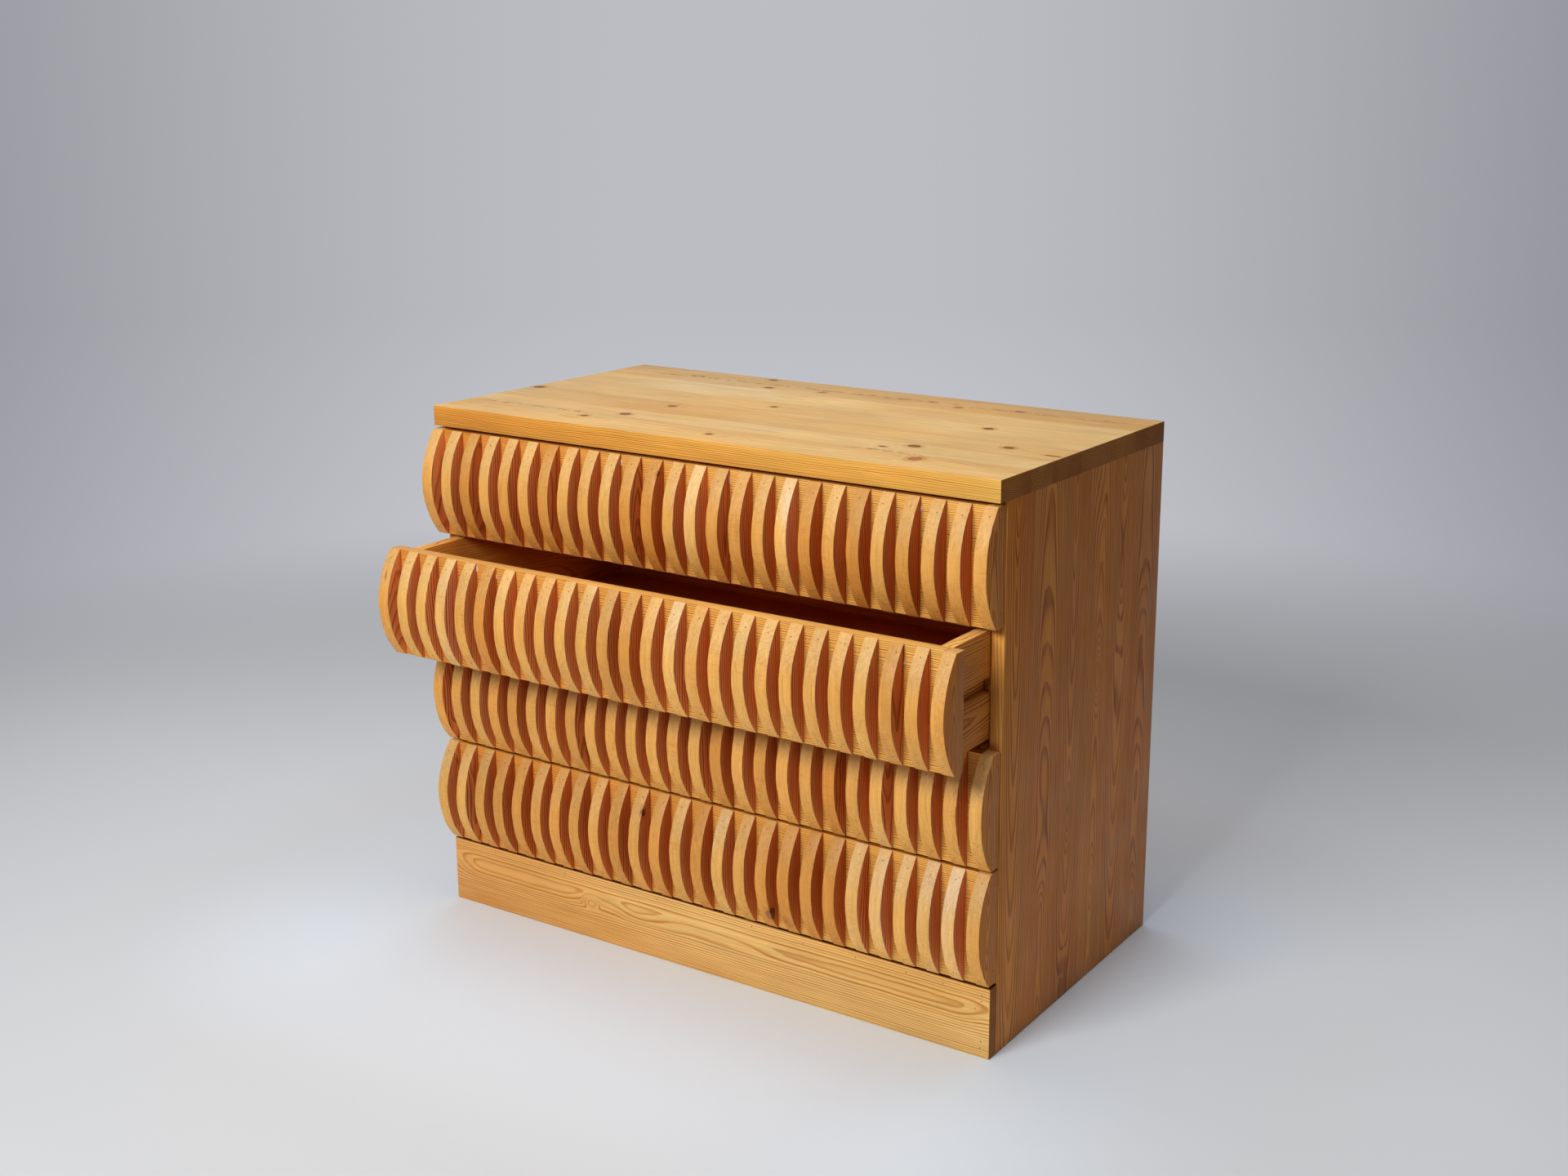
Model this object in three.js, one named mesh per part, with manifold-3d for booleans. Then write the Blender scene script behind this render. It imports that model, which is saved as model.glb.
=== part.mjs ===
// A pine chest of four drawers. Each drawer front is a board that carries a row of upright fins,
// cut as segments of a circle, so that the closed front reads as four ribbed half-rounds.
// Millimetres, +Z up, the front faces -Y, X runs along the width.
import * as THREE from "three";
import { mergeVertices } from "three/addons/utils/BufferGeometryUtils.js";
import Module from "manifold-3d";

const wasm = await Module();
wasm.setup();

// Case
const caseWidth = 1000;
const caseDepth = 514;
const topThickness = 31;
const sideThickness = 20;
const plinthHeight = 106;
const plinthThickness = 20;
const floorPanelThickness = 20;
const floorPanelHousing = 8;
const backPanelThickness = 8;
const backRebateWidth = 10;

// Joints between fixed pieces keep a hair of glue
const glueLine = 0.1;

// Dowels that hold the top on the sides
const dowelsPerSide = 4;
const dowelRadius = 5;
const dowelInTop = 18;
const dowelInSide = 30;
const dowelHoleSpare = 0.5;
const dowelEndDistance = 50;
const dowelFacets = 12;

// Drawer fronts
const drawerCount = 4;
const frontHeight = 166;
const frontGap = 4.2;
const frontReveal = 1;
const frontStandOff = 2;
const frontBoardThickness = 19;
const finCount = 26;
const finThickness = 20;
const finTip = 2;
const finBulge = 31.5;
const finArcSteps = 16;

// Drawer boxes
const boxSideThickness = 19;
const boxTopDrop = 2.5;
const boxBottomRise = 9.5;
const boxCaseClearance = 2;
const boxStopGap = 0.3;
const boxBackThickness = 15;
const drawerBottomThickness = 5;
const drawerBottomRise = 10;
const drawerBottomGroove = 6;
const drawerBottomEndGap = 0.5;
const drawerBottomPlay = 0.3;

// Runners, screwed to the case sides, and the grooves that ride on them
const runnerHeight = 20;
const runnerThickness = 11;
const runnerFrontSetback = 1;
const runnerBackGap = 6;
const runnerTopPlay = 0.3;
const runnerBottomPlay = 0.7;
const runnerTipPlay = 0.9;

// The second drawer from the top stands open
const openDrawer = 2;
const openDistance = 103.5;

// Every cut runs this far past the face that it opens
const overrun = 1;

// Worked out from the sizes above
const frontStackHeight = drawerCount * frontHeight + (drawerCount + 1) * frontGap;
const caseHeight = plinthHeight + frontStackHeight + topThickness;
const sideHeight = caseHeight - topThickness;
const innerHalfWidth = caseWidth / 2 - sideThickness;
const dowelX = (caseWidth - sideThickness) / 2;
const sideFrontY = plinthThickness;
const backPanelFrontY = caseDepth - backPanelThickness;
const frontHalfWidth = caseWidth / 2 - frontReveal;
const finPitch = (2 * frontHalfWidth - finThickness) / (finCount - 1);
const frontBoardHalfWidth = frontHalfWidth - finThickness - glueLine;
const boxHalfWidth = innerHalfWidth - boxCaseClearance;
const boxInnerHalfWidth = boxHalfWidth - boxSideThickness;
const boxSideHeight = frontHeight - boxTopDrop - boxBottomRise;
const frontBackY = sideFrontY - frontStandOff;
const boxLength = backPanelFrontY - boxStopGap - frontBackY;
const grooveHeight = runnerHeight + runnerTopPlay + runnerBottomPlay;
const grooveDepth = runnerThickness + glueLine + runnerTipPlay - boxCaseClearance;
const grooveBottomZ = boxBottomRise + (boxSideHeight - grooveHeight) / 2;
const drawerBottomZ = boxBottomRise + drawerBottomRise;

function wood(color, roughness) {
  return new THREE.MeshStandardMaterial({ color, roughness, metalness: 0 });
}

const materials = {
  top: wood(0xdeba82, 0.5),
  side: wood(0x9a6f45, 0.55),
  plinth: wood(0xd7a55f, 0.5),
  panel: wood(0xc79a62, 0.7),
  runner: wood(0xa97c4c, 0.6),
  dowel: wood(0xcfae7c, 0.7),
  front: wood(0xebbe6e, 0.5),
  endFin: wood(0xe6b065, 0.5),
  box: wood(0xd9a659, 0.6),
  bottom: wood(0xb98e5a, 0.7),
};

function solidOf(geometry) {
  const closed = geometry.clone();
  closed.deleteAttribute("normal");
  closed.deleteAttribute("uv");
  const merged = mergeVertices(closed);
  const vertProperties = merged.attributes.position.array;
  const triVerts = new Uint32Array(merged.index.array);
  return new wasm.Manifold(new wasm.Mesh({ numProp: 3, vertProperties, triVerts }));
}

function geometryOf(solid) {
  const { vertProperties, triVerts } = solid.getMesh();
  const geometry = new THREE.BufferGeometry();
  geometry.setAttribute("position", new THREE.BufferAttribute(new Float32Array(vertProperties), 3));
  geometry.setIndex(new THREE.BufferAttribute(triVerts, 1));
  geometry.computeVertexNormals();
  return geometry;
}

// A straight board with its lowest corner at low
function block(low, size) {
  const geometry = new THREE.BoxGeometry(...size);
  geometry.translate(size[0] / 2, size[1] / 2, size[2] / 2);
  return geometry.translate(...low);
}

// A board whose section has corners, drawn from [first, second] pairs
function section(points) {
  return new THREE.Shape(points.map(([first, second]) => new THREE.Vector2(first, second)));
}

// Extrudes a section drawn in X and Y upwards
function extrudeUp(shape, length, curveSegments) {
  return new THREE.ExtrudeGeometry(shape, { depth: length, bevelEnabled: false, curveSegments });
}

// Extrudes a section drawn in Y and Z along X
function extrudeAcross(shape, length, curveSegments) {
  const toYZ = new THREE.Matrix4().makeBasis(
    new THREE.Vector3(0, 1, 0),
    new THREE.Vector3(0, 0, 1),
    new THREE.Vector3(1, 0, 0),
  );
  return extrudeUp(shape, length, curveSegments).applyMatrix4(toYZ);
}

// Extrudes a section drawn in X and Z towards the back
function extrudeBack(shape, length) {
  const toXZ = new THREE.Matrix4().makeBasis(
    new THREE.Vector3(1, 0, 0),
    new THREE.Vector3(0, 0, 1),
    new THREE.Vector3(0, -1, 0),
  );
  return extrudeUp(shape, length).applyMatrix4(toXZ).translate(0, length, 0);
}

function piece(name, geometry, material, place = [0, 0, 0]) {
  const mesh = new THREE.Mesh(geometry, material);
  mesh.name = name;
  mesh.position.set(...place);
  return mesh;
}

// Case

function dowelPlaces() {
  const firstY = sideFrontY + dowelEndDistance;
  const lastY = backPanelFrontY - dowelEndDistance;
  const step = (lastY - firstY) / (dowelsPerSide - 1);
  return Array.from({ length: dowelsPerSide }, (_, index) => firstY + index * step);
}

function dowelShaft(radius, length) {
  return new THREE.CylinderGeometry(radius, radius, length, dowelFacets).rotateX(Math.PI / 2);
}

function cutDowelHoles(solid, x, depthBelow, depthAbove) {
  const length = depthBelow + depthAbove;
  const middleZ = (depthAbove - depthBelow) / 2;
  return dowelPlaces().reduce((rest, y) => {
    const hole = dowelShaft(dowelRadius + glueLine, length).translate(x, y, sideHeight + middleZ);
    return rest.subtract(solidOf(hole));
  }, solid);
}

function topBoard() {
  const size = [caseWidth, caseDepth, topThickness - glueLine];
  const plain = solidOf(block([-caseWidth / 2, 0, sideHeight + glueLine], size));
  const depthAbove = dowelInTop + dowelHoleSpare;
  const left = cutDowelHoles(plain, -dowelX, overrun, depthAbove);
  const both = cutDowelHoles(left, dowelX, overrun, depthAbove);
  return piece("top_board", geometryOf(both), materials.top);
}

// The right side panel's section, rebated at the inner back edge for the back panel
function sideSection() {
  const innerX = innerHalfWidth;
  const outerX = caseWidth / 2;
  const rebateX = innerX + backRebateWidth;
  return section([
    [innerX, sideFrontY + glueLine],
    [outerX, sideFrontY + glueLine],
    [outerX, caseDepth],
    [rebateX, caseDepth],
    [rebateX, backPanelFrontY - glueLine],
    [innerX, backPanelFrontY - glueLine],
  ]);
}

function sidePanel(name, mirror) {
  const outline = solidOf(extrudeUp(sideSection(), sideHeight));
  const housing = block(
    [innerHalfWidth - overrun, sideFrontY - overrun, plinthHeight - floorPanelThickness - glueLine],
    [
      overrun + floorPanelHousing,
      backPanelFrontY + overrun - sideFrontY,
      floorPanelThickness + 2 * glueLine,
    ],
  );
  const housed = outline.subtract(solidOf(housing));
  const bored = cutDowelHoles(housed, dowelX, dowelInSide + dowelHoleSpare, overrun);
  const placed = mirror ? bored.mirror([1, 0, 0]) : bored;
  return piece(name, geometryOf(placed), materials.side);
}

function plinthBoard() {
  const size = [caseWidth, plinthThickness, plinthHeight];
  return piece("plinth_board", block([0, 0, 0], size), materials.plinth, [-caseWidth / 2, 0, 0]);
}

function floorPanel() {
  const halfWidth = innerHalfWidth + floorPanelHousing - glueLine;
  const frontY = plinthThickness + glueLine;
  const length = backPanelFrontY - glueLine - frontY;
  const size = [2 * halfWidth, length, floorPanelThickness];
  const place = [-halfWidth, frontY, plinthHeight - floorPanelThickness];
  return piece("case_floor", block([0, 0, 0], size), materials.panel, place);
}

function backPanel() {
  const halfWidth = innerHalfWidth + backRebateWidth - glueLine;
  const bottomZ = plinthHeight - floorPanelThickness;
  const size = [2 * halfWidth, backPanelThickness, sideHeight - bottomZ];
  return piece("back_panel", block([0, 0, 0], size), materials.panel, [
    -halfWidth,
    backPanelFrontY,
    bottomZ,
  ]);
}

function frontBottomZ(number) {
  const fromBottom = drawerCount - number;
  return plinthHeight + frontGap + fromBottom * (frontHeight + frontGap);
}

function runner(name, number, side) {
  const frontY = sideFrontY + runnerFrontSetback;
  const length = backPanelFrontY - runnerBackGap - frontY;
  const outerX = innerHalfWidth - glueLine;
  const lowX = side > 0 ? outerX - runnerThickness : -outerX;
  const z = frontBottomZ(number) + grooveBottomZ + runnerBottomPlay;
  const size = [runnerThickness, length, runnerHeight];
  return piece(name, block([0, 0, 0], size), materials.runner, [lowX, frontY, z]);
}

function dowels(word, x) {
  const length = dowelInTop + dowelInSide;
  const z = sideHeight + (dowelInTop - dowelInSide) / 2;
  return dowelPlaces().map((y, index) =>
    piece(word + "_dowel_" + (index + 1), dowelShaft(dowelRadius, length), materials.dowel, [x, y, z]),
  );
}

function chestCase() {
  const group = new THREE.Group();
  group.add(topBoard(), sidePanel("right_side_panel", false), sidePanel("left_side_panel", true));
  group.add(plinthBoard(), floorPanel(), backPanel());
  group.add(...dowels("left", -dowelX), ...dowels("right", dowelX));
  for (let number = 1; number <= drawerCount; number += 1) {
    group.add(runner("left_runner_" + number, number, -1));
    group.add(runner("right_runner_" + number, number, 1));
  }
  return group;
}

// Drawers, each in a group with its origin at the middle of the front board's bottom front edge

// The fin's curved outline, a circle's arc from the bottom tip to the top tip
function finSection(depthBehind) {
  const halfHeight = frontHeight / 2;
  const radius = (halfHeight ** 2 + finBulge ** 2) / (2 * finBulge);
  const centreY = radius - finBulge - finTip;
  const halfAngle = Math.asin(halfHeight / radius);
  const shape = new THREE.Shape();
  shape.moveTo(depthBehind, frontHeight);
  shape.lineTo(-finTip, frontHeight);
  shape.absarc(centreY, halfHeight, radius, Math.PI - halfAngle, Math.PI + halfAngle, false);
  shape.lineTo(depthBehind, 0);
  return shape;
}

function finBlank(depthBehind) {
  return extrudeAcross(finSection(depthBehind), finThickness, finArcSteps / 2);
}

// The front board with the fins that stand between the two end fins
function drawerFront(name) {
  const size = [2 * frontBoardHalfWidth, frontBoardThickness, frontHeight];
  const plain = solidOf(block([-frontBoardHalfWidth, 0, 0], size));
  const groove = block(
    [-boxInnerHalfWidth, frontBoardThickness - drawerBottomGroove, drawerBottomZ - drawerBottomPlay],
    [
      2 * boxInnerHalfWidth,
      drawerBottomGroove + overrun,
      drawerBottomThickness + 2 * drawerBottomPlay,
    ],
  );
  const fin = solidOf(finBlank(overrun));
  let front = plain.subtract(solidOf(groove));
  for (let index = 1; index < finCount - 1; index += 1) {
    const lowX = -frontHalfWidth + index * finPitch;
    front = front.add(fin.translate([lowX, 0, 0]));
  }
  return piece(name, geometryOf(front), materials.front);
}

function endFin(name, lowX) {
  return piece(name, finBlank(frontBoardThickness), materials.endFin, [lowX, 0, 0]);
}

// The right box side's section: a groove for the runner outside, one for the bottom inside
function boxSideSection() {
  const innerX = boxInnerHalfWidth;
  const outerX = boxHalfWidth;
  const topZ = boxBottomRise + boxSideHeight;
  const runnerGrooveTopZ = grooveBottomZ + grooveHeight;
  const bottomGrooveLowZ = drawerBottomZ - drawerBottomPlay;
  const bottomGrooveTopZ = drawerBottomZ + drawerBottomThickness + drawerBottomPlay;
  return section([
    [innerX, boxBottomRise],
    [outerX, boxBottomRise],
    [outerX, grooveBottomZ],
    [outerX - grooveDepth, grooveBottomZ],
    [outerX - grooveDepth, runnerGrooveTopZ],
    [outerX, runnerGrooveTopZ],
    [outerX, topZ],
    [innerX, topZ],
    [innerX, bottomGrooveTopZ],
    [innerX + drawerBottomGroove, bottomGrooveTopZ],
    [innerX + drawerBottomGroove, bottomGrooveLowZ],
    [innerX, bottomGrooveLowZ],
  ]);
}

function boxSide(name, mirror) {
  const solid = solidOf(extrudeBack(boxSideSection(), boxLength - glueLine));
  const placed = mirror ? solid.mirror([1, 0, 0]) : solid;
  const frontY = frontBoardThickness + glueLine;
  return piece(name, geometryOf(placed), materials.box, [0, frontY, 0]);
}

function boxBack(name) {
  const halfWidth = boxInnerHalfWidth - glueLine;
  const lowZ = drawerBottomZ + drawerBottomThickness + glueLine;
  const topZ = boxBottomRise + boxSideHeight;
  const size = [2 * halfWidth, boxBackThickness, topZ - lowZ];
  const y = frontBoardThickness + boxLength - boxBackThickness;
  return piece(name, block([0, 0, 0], size), materials.box, [-halfWidth, y, lowZ]);
}

function drawerBottom(name) {
  const halfWidth = boxInnerHalfWidth + drawerBottomGroove - drawerBottomEndGap;
  const frontHalf = boxInnerHalfWidth - drawerBottomEndGap;
  const tongueY = frontBoardThickness - drawerBottomGroove + drawerBottomEndGap;
  const shoulderY = frontBoardThickness + drawerBottomEndGap;
  const backY = frontBoardThickness + boxLength;
  const outline = section([
    [-frontHalf, tongueY],
    [frontHalf, tongueY],
    [frontHalf, shoulderY],
    [halfWidth, shoulderY],
    [halfWidth, backY],
    [-halfWidth, backY],
    [-halfWidth, shoulderY],
    [-frontHalf, shoulderY],
  ]);
  return piece(name, extrudeUp(outline, drawerBottomThickness), materials.bottom, [
    0,
    0,
    drawerBottomZ,
  ]);
}

function drawer(number) {
  const word = "drawer_" + number;
  const group = new THREE.Group();
  const pulled = number === openDrawer ? openDistance : 0;
  group.position.set(0, frontBackY - frontBoardThickness - pulled, frontBottomZ(number));
  group.add(drawerFront(word + "_front"));
  group.add(endFin(word + "_left_end_fin", -frontHalfWidth));
  group.add(endFin(word + "_right_end_fin", frontHalfWidth - finThickness));
  group.add(boxSide(word + "_right_side", false), boxSide(word + "_left_side", true));
  group.add(boxBack(word + "_back"), drawerBottom(word + "_bottom"));
  return group;
}

const chest = new THREE.Group();
chest.add(chestCase());
for (let number = 1; number <= drawerCount; number += 1) chest.add(drawer(number));

// The origin is on the floor under the middle of the whole, the open drawer counted
const foremostY = frontBackY - frontBoardThickness - openDistance - finTip - finBulge;
chest.position.y = -(foremostY + caseDepth) / 2;

export default chest;
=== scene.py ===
# Dresses the pine chest of drawers: planed boards with their grain, sawn fins, nails and dried glue.
import math
import random
from dataclasses import dataclass, field, replace

import bpy
import numpy as np
from mathutils import Matrix, Vector


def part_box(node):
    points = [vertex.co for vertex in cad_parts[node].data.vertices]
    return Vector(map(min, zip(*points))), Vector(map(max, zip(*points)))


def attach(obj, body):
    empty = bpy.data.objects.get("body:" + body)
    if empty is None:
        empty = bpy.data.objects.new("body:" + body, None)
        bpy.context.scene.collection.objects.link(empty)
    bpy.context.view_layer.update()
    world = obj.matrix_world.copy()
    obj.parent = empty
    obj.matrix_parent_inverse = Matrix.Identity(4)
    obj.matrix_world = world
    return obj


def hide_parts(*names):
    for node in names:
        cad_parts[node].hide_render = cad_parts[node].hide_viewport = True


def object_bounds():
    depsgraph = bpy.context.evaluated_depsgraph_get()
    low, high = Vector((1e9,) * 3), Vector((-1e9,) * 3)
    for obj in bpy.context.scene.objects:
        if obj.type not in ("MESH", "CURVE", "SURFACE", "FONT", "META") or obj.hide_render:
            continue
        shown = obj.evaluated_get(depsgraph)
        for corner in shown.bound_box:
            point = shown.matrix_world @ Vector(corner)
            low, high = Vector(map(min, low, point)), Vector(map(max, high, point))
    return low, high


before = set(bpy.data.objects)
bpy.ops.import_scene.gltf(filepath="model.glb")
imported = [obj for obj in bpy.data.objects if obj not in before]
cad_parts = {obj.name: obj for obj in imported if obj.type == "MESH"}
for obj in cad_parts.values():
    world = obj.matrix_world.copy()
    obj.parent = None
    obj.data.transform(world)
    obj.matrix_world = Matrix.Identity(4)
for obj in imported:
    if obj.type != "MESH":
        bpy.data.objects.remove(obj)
cad_low, cad_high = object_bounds()

MM = 0.001
X, Y, Z = 0, 1, 2
DRAWERS = (1, 2, 3, 4)
# The drawer that stands open in the photograph
OPEN_DRAWER = 2
FIN_COUNT = 26
END_FINS = (0, FIN_COUNT - 1)
chance = random.Random(26)


# Camera

# Solved from the straight edges in the photograph, with its angles in degrees
CAMERA_PLACE = (1.6371, -2.3010, 1.3318)
CAMERA_AZIMUTH = 31.47
CAMERA_DOWN = 14.00
CAMERA_ROLL = 0.49
CAMERA_LENS = 43.79
CAMERA_SHIFT = (-0.0720, -0.0270)
SENSOR_WIDTH = 36


def add_camera():
    angles = ((CAMERA_AZIMUTH, "Z"), (90 - CAMERA_DOWN, "X"), (CAMERA_ROLL, "Z"))
    place = Matrix.Translation(CAMERA_PLACE)
    for angle, axis in angles:
        place = place @ Matrix.Rotation(math.radians(angle), 4, axis)
    data = bpy.data.cameras.new("camera")
    data.sensor_fit = "HORIZONTAL"
    data.sensor_width = SENSOR_WIDTH
    data.lens = CAMERA_LENS
    data.shift_x, data.shift_y = CAMERA_SHIFT
    camera = bpy.data.objects.new("camera", data)
    camera.matrix_world = place
    bpy.context.scene.collection.objects.link(camera)
    bpy.context.scene.camera = camera


# Shader nodes

# The span that most of a noise's values lie in
USUAL_NOISE = (0.3, 0.7)


class Bench:
    """Adds nodes to one shader tree and wires them."""

    def __init__(self, tree):
        self.tree = tree

    def wire(self, value, socket):
        if isinstance(value, bpy.types.Node):
            value = value.outputs[0]
        if isinstance(value, bpy.types.NodeSocket):
            self.tree.links.new(value, socket)
        else:
            socket.default_value = value

    def add(self, kind, inputs=None, **settings):
        node = self.tree.nodes.new("ShaderNode" + kind)
        for name, value in settings.items():
            setattr(node, name, value)
        for name, value in (inputs or {}).items():
            self.wire(value, node.inputs[name])
        return node

    def math(self, operation, *values, clamp=False):
        node = self.add("Math", dict(enumerate(values)), operation=operation, use_clamp=clamp)
        return node.outputs[0]

    def times(self, product, *others, clamp=False):
        for other in others:
            product = self.math("MULTIPLY", product, other, clamp=clamp)
        return product

    def off(self, value, middle):
        return self.math("ABSOLUTE", self.math("SUBTRACT", value, middle))

    def vector(self, operation, *values):
        node = self.add("VectorMath", dict(enumerate(values)), operation=operation)
        return node.outputs["Value" if operation == "LENGTH" else "Vector"]

    def scaled(self, vector, share):
        node = self.add("VectorMath", {"Vector": vector, "Scale": share}, operation="SCALE")
        return node.outputs["Vector"]

    def axis(self, vector, name):
        return self.add("SeparateXYZ", {0: vector}).outputs[name]

    def attribute(self, name, output="Vector"):
        return self.add("Attribute", attribute_name=name).outputs[output]

    def object_place(self):
        return self.add("TexCoord").outputs["Object"]

    def noise(self, place, scale, detail=2.0, output=0):
        """Cloudy noise, about 0.5 on average. scale is in clouds a metre along each axis."""
        inputs = {"Vector": self.vector("MULTIPLY", place, scale), "Scale": 1.0, "Detail": detail}
        inputs["Roughness"] = 0.55
        return self.add("TexNoise", inputs).outputs[output]

    def remap(self, value, low, high, to_low, to_high, steps="LINEAR"):
        names = ("Value", "From Min", "From Max", "To Min", "To Max")
        inputs = dict(zip(names, (value, low, high, to_low, to_high)))
        return self.add("MapRange", inputs, interpolation_type=steps).outputs[0]

    def spread(self, noise, to_low, to_high):
        return self.remap(noise, *USUAL_NOISE, to_low, to_high)

    def mix(self, share, first, second):
        node = self.add("Mix", data_type="RGBA")
        colours = [socket for socket in node.inputs if socket.type == "RGBA"]
        self.wire(share, node.inputs["Factor"])
        self.wire(first, colours[0])
        self.wire(second, colours[1])
        return next(socket for socket in node.outputs if socket.type == "RGBA")

    def ramp(self, value, stops):
        node = self.add("ValToRGB", {"Fac": value})
        elements = node.color_ramp.elements
        elements.remove(elements[1])
        for number, (position, level) in enumerate(stops):
            stop = elements.new(position) if number else elements[0]
            stop.position = position
            stop.color = rgb(level, level, level)
        return node.outputs["Color"]


def rgb(red, green, blue):
    return (red, green, blue, 1)


def new_material(name):
    material = bpy.data.materials.new(name)
    material.use_nodes = True
    return material, Bench(material.node_tree), material.node_tree.nodes["Principled BSDF"]


# Pine

RING_WIDTH = 0.0031
# How uneven the rings are: changes a metre, and how far they move a ring
RING_CHANGES = 75
RING_REACH = 0.0062
# How the rings wander: clouds a metre across and along the trunk, and how far they push
SLOW_DRIFT = ((3, 3, 2.6), 0.026)
WAVING_DRIFT = ((20, 20, 13), 0.0045)
FINE_DRIFT = ((150, 150, 12), 0.0005)
# How a year's wood darkens from early wood to late wood, and how sharply the next year starts
YEAR_SHADE_STOPS = [(0.0, 0.20), (0.05, 0.0), (0.45, 0.03), (0.68, 0.26), (0.86, 0.95), (0.975, 1.0)]
# The share of the late wood's colour in the boldest ring
LATE_SHARE = 0.8
PALE_WOOD = rgb(0.820, 0.460, 0.115)
WARM_WOOD = rgb(0.740, 0.310, 0.050)
BLEACHED_WOOD = rgb(0.840, 0.590, 0.300)
LATE_WOOD = rgb(0.420, 0.125, 0.010)
# Fine shades of the wood: clouds a metre, and the darkest and palest share
FIBRE_CLOUDS = (330, 330, 11)
FIBRE_SHARES = (0.89, 1.09)
STREAK_CLOUDS = (170, 170, 3.5)
STREAK_SHARES = (0.94, 1.05)
PATCH_CLOUDS = (16, 16, 6)
PATCH_SHARES = (0.93, 1.07)
WARM_CLOUDS = (9, 9, 2.2)
TONE_SHARE = 0.2


def make_pine_group():
    """The figure of pine at a place in its tree: X and Y across the trunk from the pith, Z along it."""
    tree = bpy.data.node_groups.new("pine figure", "ShaderNodeTree")
    for name, way, kind in (
        ("Tree place", "INPUT", "Vector"),
        ("Look", "INPUT", "Vector"),
        ("Early tint", "INPUT", "Vector"),
        ("Late tint", "INPUT", "Vector"),
        ("Waves", "INPUT", "Float"),
        ("Color", "OUTPUT", "Color"),
        ("Height", "OUTPUT", "Float"),
    ):
        tree.interface.new_socket(name, in_out=way, socket_type="NodeSocket" + kind)
    bench = Bench(tree)
    given = tree.nodes.new("NodeGroupInput").outputs
    place, waves = given["Tree place"], given["Waves"]
    tone, lines, warmth = bench.add("SeparateXYZ", {0: given["Look"]}).outputs

    def drift(clouds, reach):
        centred = bench.vector("SUBTRACT", bench.noise(place, clouds, output="Color"), (0.5, 0.5, 0.5))
        return bench.vector("MULTIPLY", centred, (reach, reach, 0))

    calm = bench.math("MINIMUM", bench.times(waves, waves), 1)
    slow = bench.scaled(drift(*SLOW_DRIFT), calm)
    waving = bench.vector("ADD", bench.scaled(drift(*WAVING_DRIFT), waves), drift(*FINE_DRIFT))
    bent = bench.vector("ADD", bench.vector("ADD", place, slow), waving)
    from_pith = bench.vector("LENGTH", bench.vector("MULTIPLY", bent, (1, 1, 0)))
    changes = {"W": bench.times(from_pith, RING_CHANGES), "Scale": 1.0, "Detail": 1.0}
    uneven = bench.add("TexNoise", changes, noise_dimensions="1D").outputs[0]
    years = bench.math("DIVIDE", bench.math("MULTIPLY_ADD", uneven, RING_REACH, from_pith), RING_WIDTH)
    year_number = bench.math("FLOOR", years)
    boldness = bench.add("TexWhiteNoise", {"W": year_number}, noise_dimensions="1D").outputs["Value"]
    bold = bench.remap(boldness, 0, 1, 0.45, 1)
    late = bench.times(bench.ramp(bench.math("FRACT", years), YEAR_SHADE_STOPS), bold)
    line_share = bench.times(late, bench.times(lines, LATE_SHARE), clamp=True)
    # Where a face lies along the rings, their late wood shows wide but pale
    steepness = bench.math("DIVIDE", bench.math("ABSOLUTE", bench.axis(bent, "X")), from_pith)
    line_share = bench.times(line_share, bench.remap(steepness, 0.0, 0.45, 0.5, 1))

    cloud = bench.noise(place, WARM_CLOUDS)
    cloudy_warmth = bench.math("MULTIPLY_ADD", warmth, 0.5, bench.spread(cloud, 0.05, 0.70))
    ground = bench.mix(cloudy_warmth, PALE_WOOD, WARM_WOOD)
    ground = bench.mix(bench.remap(cloudy_warmth, -0.35, 0.06, 0.55, 0), ground, BLEACHED_WOOD)
    early_wood = bench.vector("MULTIPLY", ground, given["Early tint"])
    late_wood = bench.vector("MULTIPLY", LATE_WOOD[:3], given["Late tint"])
    fibre = bench.noise(place, FIBRE_CLOUDS, detail=3.0)
    shade = bench.times(
        bench.spread(fibre, *FIBRE_SHARES),
        bench.spread(bench.noise(place, STREAK_CLOUDS), *STREAK_SHARES),
        bench.spread(bench.noise(place, PATCH_CLOUDS), *PATCH_SHARES),
        bench.math("MULTIPLY_ADD", tone, TONE_SHARE, 1.0),
    )
    out = tree.nodes.new("NodeGroupOutput").inputs
    bench.wire(bench.scaled(bench.mix(line_share, early_wood, late_wood), shade), out["Color"])
    bench.wire(bench.math("MULTIPLY_ADD", fibre, 0.8, bench.times(late, 0.35)), out["Height"])
    return tree


def spot_distance(bench, place, middle, half):
    """How far a place is from a spot's middle, in the spot's own half sizes."""
    scale = tuple(1 / size for size in half)
    offset = tuple(-at / size for at, size in zip(middle, half))
    return bench.vector("LENGTH", bench.vector("MULTIPLY_ADD", place, scale, offset))


# How far out an eye or a knot bends the rings, in its own half sizes
EYE_REACH = 2.2
KNOT_REACH = (0.6, 4.0)
KNOT_LIFT = 0.0085
FAR_OFF = 1000.0


def hills(bench, place, eyes):
    """Adds up soft round hills. Each is its middle, its half sizes and its height."""
    total = 0
    for middle, half, height in eyes:
        far = spot_distance(bench, place, middle, half)
        total = bench.math("ADD", total, bench.remap(far, 0, EYE_REACH, height, 0, "SMOOTHERSTEP"))
    return total


def nearest(bench, place, spots):
    found = FAR_OFF
    for middle, half in spots:
        found = bench.math("MINIMUM", found, spot_distance(bench, place, middle, half))
    return found


# The lowest drawer's foot, and how far up the next drawer starts
LOWEST_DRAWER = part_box("drawer_4_front")[0].z
DRAWER_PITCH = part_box("drawer_3_front")[0].z - LOWEST_DRAWER
pine_group = make_pine_group()


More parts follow.
